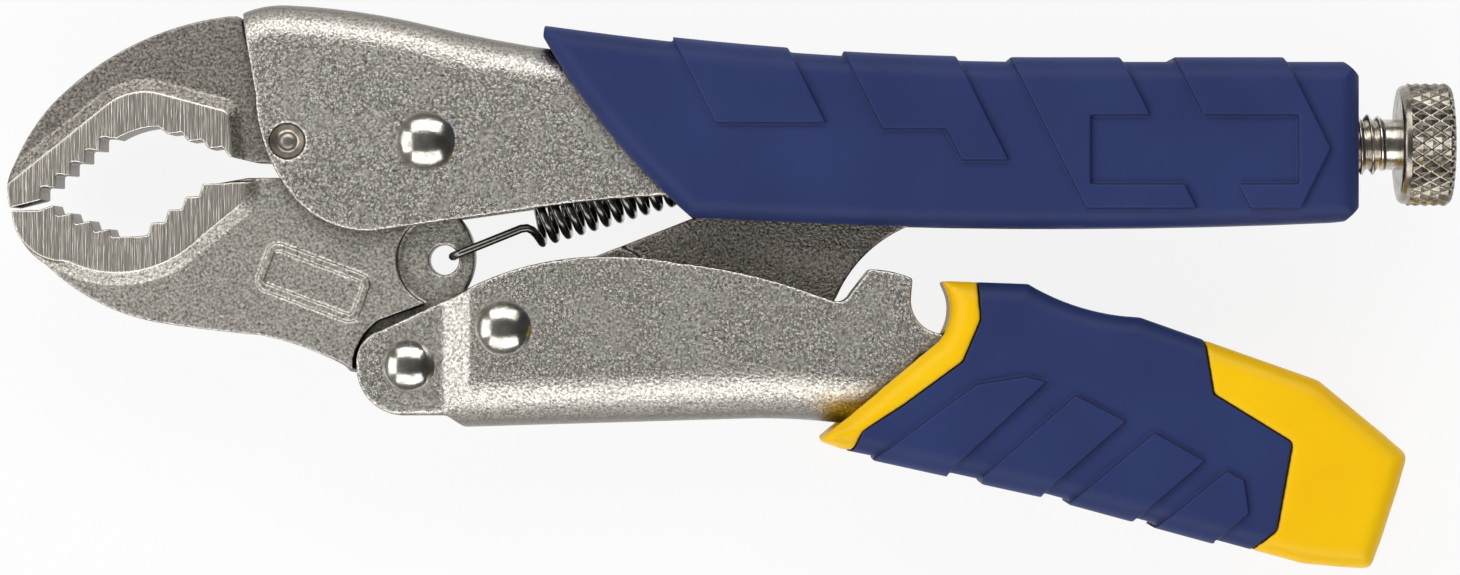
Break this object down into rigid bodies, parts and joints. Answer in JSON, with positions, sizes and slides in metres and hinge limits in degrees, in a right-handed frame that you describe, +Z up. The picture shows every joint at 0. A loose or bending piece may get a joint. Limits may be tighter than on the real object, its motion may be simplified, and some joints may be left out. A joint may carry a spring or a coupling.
{
  "type": "locking pliers",
  "caption": "Locking pliers with curved toothed jaws, a toggle link and spring between channel handles, soft grips and a knurled adjusting screw.",
  "frame": {"origin": "under the middle of the tool's box, on the surface it lies on", "axes": "+X along the fixed handle towards the adjusting screw, +Y from the lower lever to the fixed handle, +Z up through the tool's thickness"},
  "size_m": [0.187, 0.0729, 0.0218],
  "materials": {
    "pressed_steel": "satin nickel plate, grainy",
    "forged_steel": "grainy plated forging with ground tooth bands",
    "link_steel": "darker grainy plate",
    "rivet_steel": "polished domes",
    "spring_steel": "black oiled wire",
    "screw_steel": "bright plate, knurled head",
    "blue_grip": "soft matt moulding",
    "yellow_grip": "satin moulding"
  },
  "bodies": {
    "root": {"fixed_handle": "pressed_steel", "fixed_jaw": "forged_steel", "fixed_jaw_pin": "rivet_steel", "main_rivet": "rivet_steel", "spring_anchor_pin": "rivet_steel", "screw_nut": "screw_steel", "upper_grip": "blue_grip", "return_spring": "spring_steel"},
    "jaw": {"movable_jaw": "forged_steel"},
    "lever": {"lower_lever": "pressed_steel", "lever_rivet": "rivet_steel", "link_rivet": "rivet_steel", "release_pin": "rivet_steel"},
    "link": {"toggle_link": "link_steel"},
    "release": {"release_lever": "link_steel", "lower_grip_core": "yellow_grip", "lower_grip_cover": "blue_grip"},
    "screw": {"adjusting_screw": "screw_steel"},
    "knob": {"screw_knob": "screw_steel"}
  },
  "joints": [
    {"name": "jaw_pivot", "type": "hinge", "parent": "root", "child": "jaw", "pos_m": [-0.0394, 0.01874, 0.0109], "axis": [0, 0, 1], "range_deg": [0, 16.1], "deforming": ["return_spring"]},
    {"name": "lever_pivot", "type": "hinge", "parent": "jaw", "child": "lever", "pos_m": [-0.0417, -0.01026, 0.0109], "axis": [0, 0, -1], "range_deg": [0, 75.1]},
    {"name": "link_pivot", "type": "hinge", "parent": "lever", "child": "link", "pos_m": [-0.0294, -0.00536, 0.0109], "axis": [0, 0, 1], "range_deg": [0, 71.2]},
    {"name": "release_pivot", "type": "hinge", "parent": "lever", "child": "release", "pos_m": [0.0254, -0.01066, 0.0109], "axis": [0, 0, -1], "range_deg": [0, 3]},
    {"name": "screw_travel", "type": "slide", "parent": "root", "child": "screw", "axis": [1, 0, 0], "range_m": [0, 0.01975]},
    {"name": "screw_turn", "type": "hinge", "parent": "screw", "child": "knob", "pos_m": [0.0866, 0.01844, 0.0109], "axis": [1, 0, 0], "range_deg": [0, 5040]}
  ],
  "couplings": [
    {"joint": "jaw_pivot", "follows": "lever_pivot", "ratio": 0.21298},
    {"joint": "link_pivot", "follows": "lever_pivot", "ratio": 0.94646},
    {"joint": "screw_turn", "follows": "screw_travel", "rad_per_m": 4453}
  ]
}
